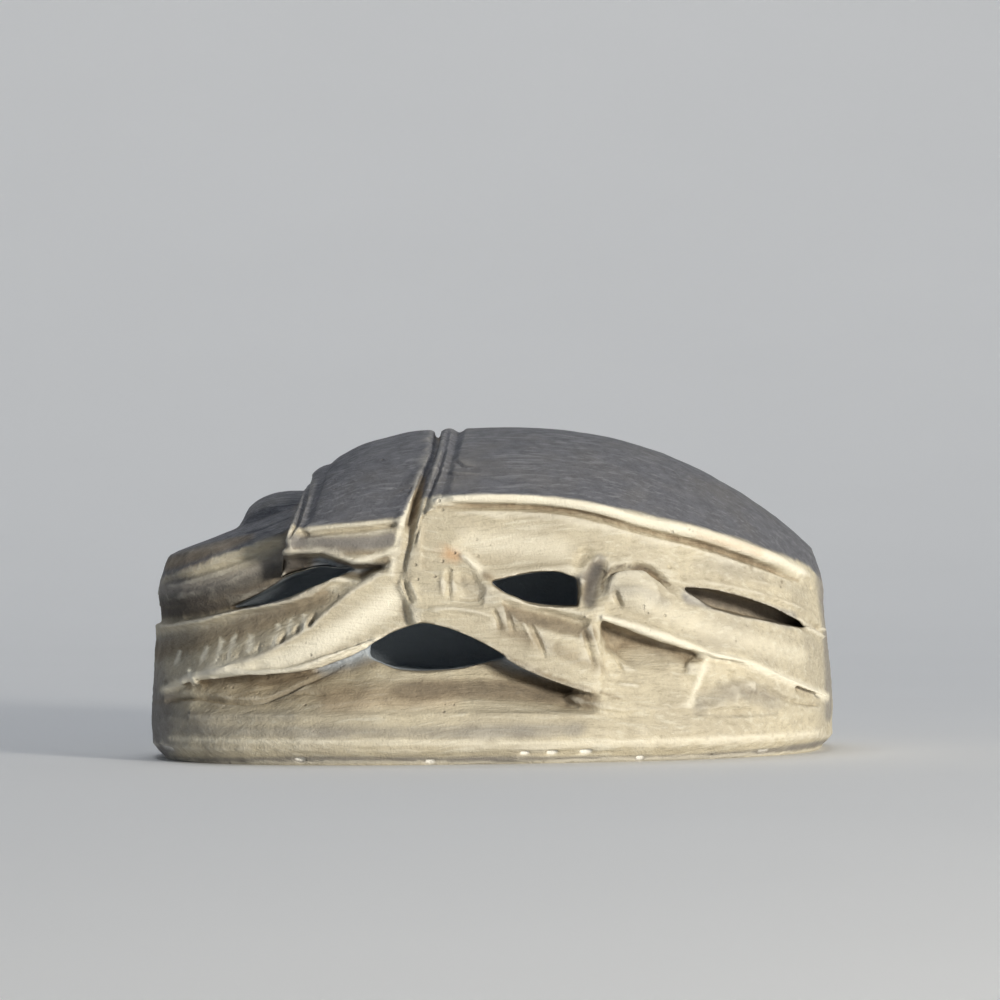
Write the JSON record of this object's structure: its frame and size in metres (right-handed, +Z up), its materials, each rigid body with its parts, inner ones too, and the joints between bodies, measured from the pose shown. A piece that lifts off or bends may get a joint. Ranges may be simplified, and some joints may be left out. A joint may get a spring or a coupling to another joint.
{
  "type": "scarab amulet",
  "caption": "Small carved stone beetle on a flat oval plate, its legs cut free of the body along both sides, pierced from head to tail for a cord.",
  "frame": {"origin": "centre of the flat underside", "axes": "+X towards the tail, with the head at -X; +Z up out of the back; the underside lies at z = 0 and the XZ plane divides the beetle in two equal halves"},
  "size_m": [0.018, 0.0128, 0.0086],
  "materials": {
    "pale_stone": "smooth matt carved surface, rubbed to a slight sheen on the high parts, fine scratches along its length, grey-brown patina on the back"
  },
  "bodies": {
    "root": {"scarab": "pale_stone"}
  },
  "joints": []
}
